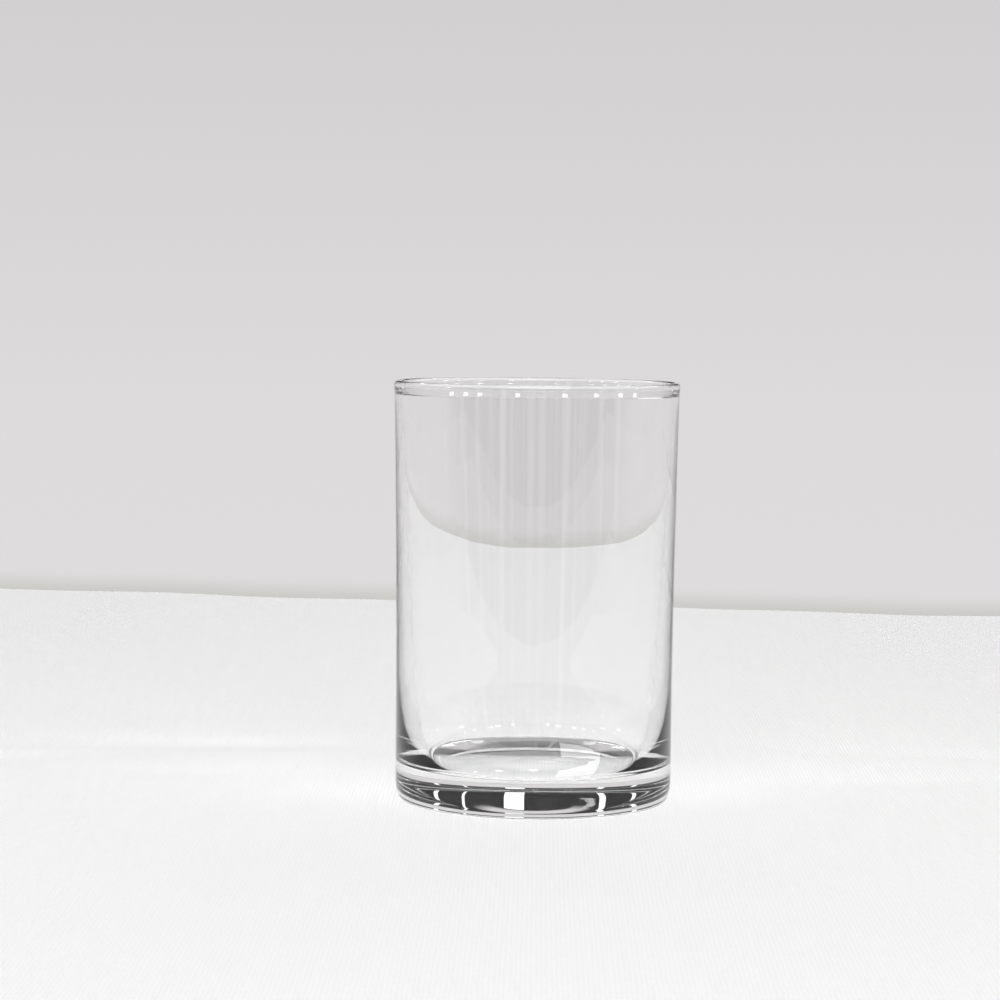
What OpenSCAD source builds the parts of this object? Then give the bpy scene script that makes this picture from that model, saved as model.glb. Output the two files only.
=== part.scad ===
// Rocks glass: one piece of clear glass, turned about the Z axis.
// Sizes are in millimetres. The origin is the middle of the foot on the table, and +Z is up.

/* [Overall size] */
// Height from the table to the top of the rim
height = 102.5; // [85:0.5:125]
// Outside diameter of the rim at its widest
rim_d = 70; // [66:0.5:80]
// Outside diameter of the straight lower wall
body_d = 67.8; // [62:0.2:78]
// Height at which the wall starts to flare towards the rim
flare_z = 28; // [16:1:60]

/* [Wall] */
// Wall thickness just under the rim bead
wall_top = 1.4; // [0.8:0.1:1.8]
// Wall thickness that the taper reaches at the level of the inside floor
wall_low = 5.4; // [2:0.1:6.5]

/* [Rim bead] */
// Thickness of the rounded bead
bead_t = 1.7; // [1.4:0.1:2.4]
// How far the bead stands out past the wall
bead_step = 0.2; // [0.05:0.05:0.5]
// Height from the widest place of the bead up to its top
bead_cap = 0.9; // [0.7:0.1:2]
// Height over which the bead runs out into the wall below
bead_run = 2.6; // [1:0.1:5]

/* [Base] */
// Height of the edge of the inside floor over the table
floor_z = 8.5; // [6:0.5:16]
// Depth of the shallow dish in the inside floor
dish_h = 1; // [0.2:0.1:2]
// Reach of the rounded outside heel in from the wall
heel_w = 1.6; // [0.8:0.1:3]
// Reach of the rounded outside heel up the wall
heel_h = 5; // [1:0.5:8]
// Reach of the inside corner curve along the floor
corner_w = 2.9; // [2:0.1:8]
// Reach of the inside corner curve up the wall
corner_h = 24; // [6:1:36]
// Width of the flat ring that the glass stands on
ring_w = 1.3; // [0.8:0.1:6]
// Depth of the shallow hollow inside that ring
punt_h = 1.5; // [0.3:0.1:2.5]

/* [Hidden] */
$fn = 120;

rim_r = rim_d / 2;
body_r = body_d / 2;
mouth_r = rim_r - bead_step;
bead_z = height - bead_cap;
neck_z = bead_z - bead_run;
corner_z = floor_z + corner_h;
foot_r = body_r - heel_w;
punt_r = foot_r - ring_w;
punt_ball = (punt_r * punt_r + punt_h * punt_h) / (2 * punt_h);

// Powers of the flare, of the wall's taper and of the inside corner
flare_power = 1.5;
wall_power = 1.2;
corner_power = 2.4;

// Straight steps in each curve of the outline
heel_steps = 10;
wall_steps = 14;
run_steps = 6;
cap_steps = 14;
corner_steps = 18;
floor_steps = 8;
punt_steps = 8;

// Outside radius of the wall at height z
function outer_r(z) =
    body_r + (mouth_r - body_r) * pow(max(0, z - flare_z) / (neck_z - flare_z), flare_power);

// Wall thickness of the taper at height z, between the inside floor and the bead
function wall_t(z) =
    wall_top + (wall_low - wall_top) * pow((neck_z - z) / (neck_z - floor_z), wall_power);

// Inside radius of the tapered wall at height z
function inner_r(z) = outer_r(z) - wall_t(z);

// Smooth step from 0 to 1
function ease(t) = (1 - cos(180 * t)) / 2;

function mix(a, b, t) = a + (b - a) * t;

// Radius of the inside floor, where the corner curve ends
floor_r = inner_r(floor_z) - corner_w;

// The half outline runs up the outside, over the rim, down the inside and back under the foot
heel = [for (i = [0:heel_steps])
    let (a = 90 * i / heel_steps - 90)
    [foot_r + heel_w * cos(a), heel_h + heel_h * sin(a)]];

outer_wall = [for (i = [0:wall_steps])
    let (z = mix(flare_z, neck_z, i / wall_steps))
    [outer_r(z), z]];

outer_run = [for (i = [1:run_steps - 1])
    let (t = i / run_steps)
    [mix(mouth_r, rim_r, ease(t)), neck_z + bead_run * t]];

cap = [for (i = [0:cap_steps])
    let (a = 180 * i / cap_steps)
    [rim_r - bead_t / 2 + bead_t / 2 * cos(a), bead_z + bead_cap * sin(a)]];

inner_run = [for (i = [run_steps - 1:-1:1])
    let (t = i / run_steps)
    [mix(mouth_r - wall_top, rim_r - bead_t, ease(t)), neck_z + bead_run * t]];

inner_wall = [for (i = [wall_steps:-1:1])
    let (z = mix(corner_z, neck_z, i / wall_steps))
    [inner_r(z), z]];

corner = [for (i = [0:corner_steps])
    let (a = 90 * i / corner_steps)
    let (z = corner_z - corner_h * pow(sin(a), 2 / corner_power))
    [inner_r(z) - corner_w * (1 - pow(cos(a), 2 / corner_power)), z]];

floor_dish = [for (i = [floor_steps - 1:-1:0])
    let (share = i / floor_steps)
    [floor_r * share, floor_z - dish_h * (1 - share * share)]];

punt = [for (i = [0:punt_steps])
    let (r = punt_r * i / punt_steps)
    [r, punt_h - punt_ball + sqrt(punt_ball * punt_ball - r * r)]];

outline = concat(heel, outer_wall, outer_run, cap, inner_run, inner_wall, corner, floor_dish, punt);

// The whole glass: foot, wall and rim are one piece
module tumbler() {
    color([0.86, 0.92, 0.9, 0.35])
        rotate_extrude()
            polygon(outline);
}

tumbler();
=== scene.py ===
import math

import bpy
from mathutils import Matrix, Vector


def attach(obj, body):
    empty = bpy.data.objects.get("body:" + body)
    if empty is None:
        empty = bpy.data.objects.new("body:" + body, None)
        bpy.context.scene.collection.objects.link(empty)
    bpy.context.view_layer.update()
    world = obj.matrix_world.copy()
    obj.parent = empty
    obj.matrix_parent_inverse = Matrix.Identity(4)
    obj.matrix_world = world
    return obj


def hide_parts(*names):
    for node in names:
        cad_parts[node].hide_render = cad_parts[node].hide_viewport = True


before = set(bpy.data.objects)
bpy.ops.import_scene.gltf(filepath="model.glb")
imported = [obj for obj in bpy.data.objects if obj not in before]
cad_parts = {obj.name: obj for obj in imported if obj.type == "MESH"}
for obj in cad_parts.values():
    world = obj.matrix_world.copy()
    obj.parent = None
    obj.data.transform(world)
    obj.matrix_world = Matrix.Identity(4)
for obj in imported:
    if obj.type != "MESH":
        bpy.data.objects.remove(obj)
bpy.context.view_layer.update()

MM = 0.001

# Driving sizes of the glass, in millimetres, the same as in the part's source
HEIGHT = 102.5
RIM_R = 70 / 2
BODY_R = 67.8 / 2
FLARE_Z = 28
WALL_TOP = 1.4
WALL_LOW = 5.4
BEAD_T = 1.7
BEAD_STEP = 0.2
BEAD_CAP = 0.9
BEAD_RUN = 2.6
FLOOR_Z = 8.5
DISH_H = 1
HEEL_W = 1.6
HEEL_H = 5
CORNER_W = 2.9
CORNER_H = 24
RING_W = 1.3
PUNT_H = 1.5

MOUTH_R = RIM_R - BEAD_STEP
BEAD_Z = HEIGHT - BEAD_CAP
NECK_Z = BEAD_Z - BEAD_RUN
CORNER_Z = FLOOR_Z + CORNER_H
FOOT_R = BODY_R - HEEL_W
PUNT_R = FOOT_R - RING_W
PUNT_BALL = (PUNT_R ** 2 + PUNT_H ** 2) / (2 * PUNT_H)

# Powers of the flare, of the wall's taper and of the inside corner
FLARE_POWER = 1.5
WALL_POWER = 1.2
CORNER_POWER = 2.4

# Shares of the way out at which the hollow under the foot and the standing ring have points
PUNT_SHARES = (0, 0.2, 0.4, 0.6, 0.75, 0.88, 0.96, 1)
RING_SHARES = (0.1, 0.5, 0.9)

# Steps in the other curves of the outline, and segments round the glass
HEEL_STEPS = 24
BODY_STEPS = 13
WALL_STEPS = 40
RUN_STEPS = 10
CAP_STEPS = 28
INNER_STEPS = 36
CORNER_STEPS = 48
FLOOR_STEPS = 32
SEGMENTS = 288


def mix(a, b, t):
    return a + (b - a) * t


def ease(t):
    return (1 - math.cos(math.pi * t)) / 2


def outer_r(z):
    return BODY_R + (MOUTH_R - BODY_R) * (max(0, z - FLARE_Z) / (NECK_Z - FLARE_Z)) ** FLARE_POWER


def wall_t(z):
    return WALL_TOP + (WALL_LOW - WALL_TOP) * ((NECK_Z - z) / (NECK_Z - FLOOR_Z)) ** WALL_POWER


def inner_r(z):
    return outer_r(z) - wall_t(z)


# Half outline of the glass, from the middle of the underside round to the middle of the inside floor
def outline():
    points = []
    for share in PUNT_SHARES:
        r = PUNT_R * share
        points.append((r, PUNT_H - PUNT_BALL + math.sqrt(PUNT_BALL ** 2 - r ** 2)))
    for share in RING_SHARES:
        points.append((mix(PUNT_R, FOOT_R, share), 0))
    for i in range(HEEL_STEPS + 1):
        a = math.radians(90 * i / HEEL_STEPS - 90)
        points.append((FOOT_R + HEEL_W * math.cos(a), HEEL_H + HEEL_H * math.sin(a)))
    for i in range(1, BODY_STEPS):
        points.append((BODY_R, mix(HEEL_H, FLARE_Z, i / BODY_STEPS)))
    for i in range(WALL_STEPS + 1):
        z = mix(FLARE_Z, NECK_Z, i / WALL_STEPS)
        points.append((outer_r(z), z))
    for i in range(1, RUN_STEPS):
        t = i / RUN_STEPS
        points.append((mix(MOUTH_R, RIM_R, ease(t)), NECK_Z + BEAD_RUN * t))
    for i in range(CAP_STEPS + 1):
        a = math.radians(180 * i / CAP_STEPS)
        r = RIM_R - BEAD_T / 2 + BEAD_T / 2 * math.cos(a)
        points.append((r, BEAD_Z + BEAD_CAP * math.sin(a)))
    for i in range(RUN_STEPS - 1, 0, -1):
        t = i / RUN_STEPS
        points.append((mix(MOUTH_R - WALL_TOP, RIM_R - BEAD_T, ease(t)), NECK_Z + BEAD_RUN * t))
    for i in range(INNER_STEPS, 0, -1):
        z = mix(CORNER_Z, NECK_Z, i / INNER_STEPS)
        points.append((inner_r(z), z))
    for i in range(CORNER_STEPS + 1):
        a = math.radians(90 * i / CORNER_STEPS)
        z = CORNER_Z - CORNER_H * math.sin(a) ** (2 / CORNER_POWER)
        reach = CORNER_W * (1 - max(0, math.cos(a)) ** (2 / CORNER_POWER))
        points.append((inner_r(z) - reach, z))
    floor_r = inner_r(FLOOR_Z) - CORNER_W
    for i in range(FLOOR_STEPS - 1, -1, -1):
        share = i / FLOOR_STEPS
        points.append((floor_r * share, FLOOR_Z - DISH_H * (1 - share * share)))
    return points


# The outline turned about the Z axis. It starts and ends on the axis, so the mesh is closed.
def make_glass():
    verts = []
    rings = []
    for r, z in outline():
        if r == 0:
            rings.append([len(verts)])
            verts.append((0, 0, z * MM))
            continue
        ring = []
        for k in range(SEGMENTS):
            a = 2 * math.pi * k / SEGMENTS
            ring.append(len(verts))
            verts.append((r * math.sin(a) * MM, -r * math.cos(a) * MM, z * MM))
        rings.append(ring)
    faces = []
    for low, high in zip(rings, rings[1:]):
        for k in range(SEGMENTS):
            n = (k + 1) % SEGMENTS
            if len(low) == 1:
                faces.append((low[0], high[n], high[k]))
            elif len(high) == 1:
                faces.append((low[k], low[n], high[0]))
            else:
                faces.append((low[k], low[n], high[n], high[k]))
    mesh = bpy.data.meshes.new("tumbler_glass")
    mesh.from_pydata(verts, [], faces)
    mesh.update()
    mesh.shade_smooth()
    piece = bpy.data.objects.new("tumbler_glass", mesh)
    bpy.context.scene.collection.objects.link(piece)
    return piece


def new_material(name):
    material = bpy.data.materials.new(name)
    material.use_nodes = True
    material.node_tree.nodes.clear()
    return material, material.node_tree.nodes, material.node_tree.links


# A node with some of its sockets set by name
def add_node(nodes, kind, sockets):
    node = nodes.new(kind)
    for name, value in sockets.items():
        node.inputs[name].default_value = value
    return node


# Clear glass with faint smears in its gloss and slight ripples. Its shadow is a pale tint.
def glass_material():
    material, nodes, links = new_material("clear_glass")
    out = nodes.new("ShaderNodeOutputMaterial")
    body = add_node(nodes, "ShaderNodeBsdfPrincipled", {
        "Base Color": (1, 1, 1, 1),
        "Transmission Weight": 1,
        "IOR": 1.52,
    })
    coord = nodes.new("ShaderNodeTexCoord")
    smear = add_node(nodes, "ShaderNodeTexNoise", {"Scale": 90, "Detail": 3})
    links.new(coord.outputs["Object"], smear.inputs["Vector"])
    gloss = add_node(nodes, "ShaderNodeMapRange", {
        "From Min": 0.55,
        "From Max": 0.8,
        "To Min": 0,
        "To Max": 0.02,
    })
    links.new(smear.outputs["Fac"], gloss.inputs["Value"])
    links.new(gloss.outputs["Result"], body.inputs["Roughness"])
    ripple = add_node(nodes, "ShaderNodeTexNoise", {"Scale": 55, "Detail": 2})
    links.new(coord.outputs["Object"], ripple.inputs["Vector"])
    bump = add_node(nodes, "ShaderNodeBump", {"Strength": 0.25, "Distance": 0.0001})
    links.new(ripple.outputs["Fac"], bump.inputs["Height"])
    links.new(bump.outputs["Normal"], body.inputs["Normal"])
    clear = add_node(nodes, "ShaderNodeBsdfTransparent", {"Color": (0.945, 0.95, 0.95, 1)})
    path = nodes.new("ShaderNodeLightPath")
    blend = nodes.new("ShaderNodeMixShader")
    links.new(path.outputs["Is Shadow Ray"], blend.inputs["Fac"])
    links.new(body.outputs["BSDF"], blend.inputs[1])
    links.new(clear.outputs["BSDF"], blend.inputs[2])
    links.new(blend.outputs["Shader"], out.inputs["Surface"])
    return material


glass = make_glass()
glass.data.materials.append(glass_material())
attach(glass, "root")
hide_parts("tumbler")


# Camera of the photograph, from a fit to the outline of the glass. Places in metres, angles in radians.
FOCAL_PX = 3050.6
IMAGE_PX = 1000
SENSOR_MM = 36
CAM_Y = -0.7462
CAM_Z = 0.1238
CAM_PITCH = 0.0675
CAM_YAW = -0.0118
CAM_ROLL = 0.0102
CLIP_NEAR = 0.01
CLIP_FAR = 20


def make_camera():
    data = bpy.data.cameras.new("camera")
    data.sensor_width = SENSOR_MM
    data.lens = FOCAL_PX / IMAGE_PX * SENSOR_MM
    data.clip_start = CLIP_NEAR
    data.clip_end = CLIP_FAR
    sin_y, cos_y = math.sin(CAM_YAW), math.cos(CAM_YAW)
    sin_p, cos_p = math.sin(CAM_PITCH), math.cos(CAM_PITCH)
    sin_r, cos_r = math.sin(CAM_ROLL), math.cos(CAM_ROLL)
    right = Vector((cos_y, -sin_y, 0))
    ahead = Vector((sin_y * cos_p, cos_y * cos_p, -sin_p))
    up = Vector((sin_y * sin_p, cos_y * sin_p, cos_p))
    side = cos_r * right + sin_r * up
    top = cos_r * up - sin_r * right
    turn = Matrix((side, top, -ahead)).transposed()
    camera = bpy.data.objects.new("camera", data)
    bpy.context.scene.collection.objects.link(camera)
    camera.matrix_world = Matrix.Translation((0, CAM_Y, CAM_Z)) @ turn.to_4x4()
    bpy.context.scene.camera = camera


make_camera()


# Stage, in metres: a white cloth, whose back edge is skewed and slightly wavy. The backdrop is the world.
CLOTH_BACK = 0.471
CLOTH_SKEW = 0.161
CLOTH_FRONT = -0.35
CLOTH_SIDE = 0.6
CLOTH_ACROSS = 240
CLOTH_ALONG = 260

# Reach, pace and start of each wave in the back edge
EDGE_WAVES = ((0.003, 31, 0.8), (0.002, 73, 0))

# Middle, turn, reach along, reach across and depth of each crease, which all keep clear of the glass
CREASES = (
    (-0.105, 0.085, 0.1, 0.045, 0.01, 0.0011),
    (-0.075, 0.03, -0.15, 0.05, 0.01, 0.0008),
    (-0.06, 0.085, -0.1, 0.06, 0.008, 0.0007),
    (-0.16, 0.05, 0.3, 0.06, 0.01, 0.0012),
    (0.09, 0.03, 0.12, 0.045, 0.01, 0.0007),
    (0.13, 0.075, -0.12, 0.05, 0.009, 0.0008),
    (0.2, 0.02, 0.2, 0.06, 0.009, 0.001),
    (-0.3, -0.1, 0.6, 0.1, 0.014, 0.0015),
    (0.32, -0.12, -0.5, 0.1, 0.014, 0.0015),
)
CREASE_CLEAR = 0.042
CREASE_FADE = 0.03

# The dim band of painted shade at the foot of the backdrop
SHADE_BAND_H = 0.009
SHADE_BAND_LOW = -0.004
SHADE_BAND_BEHIND = 0.002
SHADE_BAND_STEPS = 120


def stage_mesh(name, verts, faces, material):
    mesh = bpy.data.meshes.new(name)
    mesh.from_pydata(verts, [], faces)
    mesh.update()
    mesh.shade_smooth()
    mesh.materials.append(material)
    obj = bpy.data.objects.new(name, mesh)
    bpy.context.scene.collection.objects.link(obj)
    return obj


# Woven white cloth: two sets of threads and their unevenness make the bump and a slight change of tone
def cloth_material():
    material, nodes, links = new_material("cloth")
    out = nodes.new("ShaderNodeOutputMaterial")
    body = nodes.new("ShaderNodeBsdfDiffuse")
    coord = nodes.new("ShaderNodeTexCoord")
    threads = []
    for direction in ("X", "Y"):
        wave = add_node(nodes, "ShaderNodeTexWave", {
            "Scale": 330,
            "Distortion": 3,
            "Detail": 2,
            "Detail Scale": 1.5,
        })
        wave.bands_direction = direction
        links.new(coord.outputs["Object"], wave.inputs["Vector"])
        threads.append(wave.outputs["Fac"])
    weave = nodes.new("ShaderNodeMath")
    weave.operation = "ADD"
    links.new(threads[0], weave.inputs[0])
    links.new(threads[1], weave.inputs[1])
    slub = add_node(nodes, "ShaderNodeTexNoise", {"Scale": 420, "Detail": 4})
    links.new(coord.outputs["Object"], slub.inputs["Vector"])
    height = nodes.new("ShaderNodeMath")
    height.operation = "ADD"
    links.new(weave.outputs["Value"], height.inputs[0])
    links.new(slub.outputs["Fac"], height.inputs[1])
    bump = add_node(nodes, "ShaderNodeBump", {"Strength": 0.3, "Distance": 0.0002})
    links.new(height.outputs["Value"], bump.inputs["Height"])
    links.new(bump.outputs["Normal"], body.inputs["Normal"])
    tone = add_node(nodes, "ShaderNodeMapRange", {
        "From Min": 0.3,
        "From Max": 2.4,
        "To Min": 0.9,
        "To Max": 0.95,
    })
    links.new(height.outputs["Value"], tone.inputs["Value"])
    links.new(tone.outputs["Result"], body.inputs["Color"])
    links.new(body.outputs["BSDF"], out.inputs["Surface"])
    return material


# Y of the cloth's back edge at a given x
def cloth_back(x):
    y = CLOTH_BACK - CLOTH_SKEW * x
    for reach, pace, start in EDGE_WAVES:
        y += reach * math.sin(pace * x + start)
    return y


# Height of the cloth, which the creases press down
def crease(x, y):
    low = 0
    for cx, cy, turn, long, wide, deep in CREASES:
        u = (x - cx) * math.cos(turn) + (y - cy) * math.sin(turn)
        v = (y - cy) * math.cos(turn) - (x - cx) * math.sin(turn)
        low += deep * math.exp(-(u / long) ** 2 - (v / wide) ** 2)
    clear = ease(min(1, max(0, math.hypot(x, y) - CREASE_CLEAR) / CREASE_FADE))
    return -low * clear


def make_cloth():
    verts = []
    for j in range(CLOTH_ALONG + 1):
        for i in range(CLOTH_ACROSS + 1):
            x = mix(-CLOTH_SIDE, CLOTH_SIDE, i / CLOTH_ACROSS)
            y = mix(CLOTH_FRONT, cloth_back(x), j / CLOTH_ALONG)
            verts.append((x, y, crease(x, y)))
    row = CLOTH_ACROSS + 1
    faces = []
    for j in range(CLOTH_ALONG):
        for i in range(CLOTH_ACROSS):
            k = j * row + i
            faces.append((k, k + 1, k + 1 + row, k + row))
    return stage_mesh("cloth", verts, faces, cloth_material())


make_cloth()


# Painted shade: a dim band that glows grey and fades upwards where the backdrop meets the back edge of the
# cloth. It stands in for the shadow there.
def painted_shade_band_material():
    material, nodes, links = new_material("backdrop_foot_painted_shade")
    out = nodes.new("ShaderNodeOutputMaterial")
    coord = nodes.new("ShaderNodeTexCoord")
    split = nodes.new("ShaderNodeSeparateXYZ")
    links.new(coord.outputs["Generated"], split.inputs[0])
    fade = add_node(nodes, "ShaderNodeMapRange", {
        "From Min": 0.1,
        "From Max": 1,
        "To Min": 1,
        "To Max": 0,
    })
    fade.interpolation_type = "SMOOTHSTEP"
    links.new(split.outputs["Z"], fade.inputs["Value"])
    # The grey glow is painted shade, not a lamp
    glow = add_node(nodes, "ShaderNodeEmission", {"Color": (0.575, 0.572, 0.545, 1)})
    clear = nodes.new("ShaderNodeBsdfTransparent")
    blend = nodes.new("ShaderNodeMixShader")
    links.new(fade.outputs["Result"], blend.inputs["Fac"])
    links.new(clear.outputs["BSDF"], blend.inputs[1])
    links.new(glow.outputs["Emission"], blend.inputs[2])
    links.new(blend.outputs["Shader"], out.inputs["Surface"])
    return material


def make_painted_shade_band():
    verts = []
    for i in range(SHADE_BAND_STEPS + 1):
        x = mix(-CLOTH_SIDE, CLOTH_SIDE, i / SHADE_BAND_STEPS)
        for z in (SHADE_BAND_LOW, SHADE_BAND_H):
            verts.append((x, cloth_back(x) + SHADE_BAND_BEHIND, z))
    faces = [(2 * i, 2 * i + 2, 2 * i + 3, 2 * i + 1) for i in range(SHADE_BAND_STEPS)]
    painted_shade_band = stage_mesh("backdrop_foot_painted_shade", verts, faces, painted_shade_band_material())
    # The band of painted shade casts no shadow and lights nothing
    painted_shade_band.visible_diffuse = False
    painted_shade_band.visible_shadow = False


make_painted_shade_band()


# The camera sees a pale backdrop. All other rays see the room: about the same pale level up to 8 degrees,
# a dark gap over it, and a mid-grey ceiling that is darker straight above. After a reflection, rays to the
# front see a dark room with pale upright strips. Stops are a place on the ramp and the level of grey there.
SEEN_LOW = -0.12
SEEN_HIGH = 0.1
SEEN_STOPS = ((0, 0.735), (0.35, 0.725), (1, 0.64))
ROOM_STOPS = (
    (0, 0.7),
    (0.137, 0.68),
    (0.1435, 0.3),
    (0.149, 0.015),
    (0.36, 0.015),
    (0.42, 0.55),
    (0.7, 0.55),
    (1, 0.3),
)
STRIP_STOPS = ((0, 0.0), (0.5, 0.03), (0.62, 0.5), (0.72, 1.0))

# Green and blue of the surroundings for each unit of red
GREEN_SHARE = 0.978
BLUE_SHARE = 0.986

# Y of the directions between which the surroundings turn from the front to the rest of the room
FRONT_FULL = -0.45
FRONT_NONE = -0.05


def make_world():
    world = bpy.data.worlds.new("world")
    bpy.context.scene.world = world
    world.use_nodes = True
    nodes, links = world.node_tree.nodes, world.node_tree.links
    nodes.clear()
    out = nodes.new("ShaderNodeOutputWorld")
    coord = nodes.new("ShaderNodeTexCoord")
    split = nodes.new("ShaderNodeSeparateXYZ")
    links.new(coord.outputs["Generated"], split.inputs[0])

    def map_range(source, low, high, to_low, to_high):
        node = add_node(nodes, "ShaderNodeMapRange", {
            "From Min": low,
            "From Max": high,
            "To Min": to_low,
            "To Max": to_high,
        })
        links.new(source, node.inputs["Value"])
        return node.outputs["Result"]

    def ramp(source, stops):
        node = nodes.new("ShaderNodeValToRGB")
        bar = node.color_ramp
        while len(bar.elements) < len(stops):
            bar.elements.new(1)
        for element, (place, level) in zip(bar.elements, stops):
            element.position = place
            element.color = (level, level * GREEN_SHARE, level * BLUE_SHARE, 1)
        links.new(source, node.inputs["Fac"])
        return node.outputs["Color"]

    def background(colour):
        node = nodes.new("ShaderNodeBackground")
        links.new(colour, node.inputs["Color"])
        return node.outputs["Background"]

    def blend(factor, first, second):
        node = nodes.new("ShaderNodeMixShader")
        links.new(factor, node.inputs["Fac"])
        links.new(first, node.inputs[1])
        links.new(second, node.inputs[2])
        return node.outputs["Shader"]

    seen = background(ramp(map_range(split.outputs["Z"], SEEN_LOW, SEEN_HIGH, 0, 1), SEEN_STOPS))
    room = background(ramp(map_range(split.outputs["Z"], 0, 1, 0, 1), ROOM_STOPS))
    turn = nodes.new("ShaderNodeMath")
    turn.operation = "ARCTAN2"
    links.new(split.outputs["X"], turn.inputs[0])
    links.new(split.outputs["Y"], turn.inputs[1])
    strips = nodes.new("ShaderNodeTexNoise")
    strips.noise_dimensions = "1D"
    strips.inputs["Scale"].default_value = 7
    strips.inputs["Detail"].default_value = 5
    strips.inputs["Roughness"].default_value = 0.65
    links.new(turn.outputs["Value"], strips.inputs["W"])
    front = background(ramp(strips.outputs["Fac"], STRIP_STOPS))
    path = nodes.new("ShaderNodeLightPath")
    facing = nodes.new("ShaderNodeMath")
    facing.operation = "MULTIPLY"
    links.new(map_range(split.outputs["Y"], FRONT_FULL, FRONT_NONE, 1, 0), facing.inputs[0])
    links.new(map_range(path.outputs["Glossy Depth"], 0, 1, 0, 1), facing.inputs[1])
    around = blend(facing.outputs["Value"], room, front)
    links.new(blend(path.outputs["Is Camera Ray"], around, seen), out.inputs["Surface"])


make_world()


LAMP_AIM = Vector((0, 0, 0.005))


# A lamp that looks at the foot of the glass. Angles in degrees, with azimuth 0 at the camera's side,
# lengths in metres and power in watts.
def lamp(name, azimuth, elevation, distance, width, height, power):
    a, e = math.radians(azimuth), math.radians(elevation)
    way = Vector((math.cos(e) * math.sin(a), -math.cos(e) * math.cos(a), math.sin(e)))
    data = bpy.data.lights.new(name, "AREA")
    data.shape = "RECTANGLE"
    data.size = width
    data.size_y = height
    data.energy = power
    obj = bpy.data.objects.new(name, data)
    bpy.context.scene.collection.objects.link(obj)
    obj.location = LAMP_AIM + way * distance
    obj.rotation_mode = "QUATERNION"
    obj.rotation_quaternion = (-way).to_track_quat("-Z", "Y")
    obj.visible_camera = False
    return obj


# Broad soft lamps above, in front and behind, which the glass doesn't show or shows only as gloss
top = lamp("broad_top", 180, 84, 2.6, 2.5, 2, 1.5)
top.visible_transmission = False
top.visible_glossy = False
soft = lamp("front_soft", 0, 44, 2.6, 2, 1.6, 36)
soft.visible_transmission = False
fill = lamp("back_fill", 180, 40, 1.25, 1.2, 0.5, 1.3)
fill.visible_transmission = False
fill.visible_glossy = False

# Tall windows behind the glass, which the base shows as white columns: azimuth and width of each smaller one
BACK_UP = 12.4
BACK_FAR = 6
BACK_TALL = 0.8
BACK_POWER_PER_WIDTH = 3.4
BACK_COLUMNS = ((146.5, 0.25), (159.5, 0.1), (200.7, 0.24), (216.5, 0.28))
lamp("back_main", 175, BACK_UP, BACK_FAR, 0.56, BACK_TALL, 1.9)
for k, (azimuth, width) in enumerate(BACK_COLUMNS, 1):
    lamp("back_%d" % k, azimuth, BACK_UP, BACK_FAR, width, BACK_TALL, BACK_POWER_PER_WIDTH * width)

# Small lamps in front, which the rim shows as white dots
DOT_AZIMUTHS = (-75, -61, -48, -16, 23, 50, 73, 88)
for k, azimuth in enumerate(DOT_AZIMUTHS, 1):
    lamp("front_%d" % k, azimuth, 17.5, 1.8, 0.12, 0.12, 1.6)

# A row of small lamps high at the back, which the inside of the base shows as dots
CEILING_LAMPS = 9
CEILING_FIRST = 128
CEILING_STEP = 13
for k in range(CEILING_LAMPS):
    lamp("ceiling_%d" % k, CEILING_FIRST + CEILING_STEP * k, 36, 2.5, 0.11, 0.11, 0.4)

bpy.context.scene.view_settings.view_transform = "Standard"
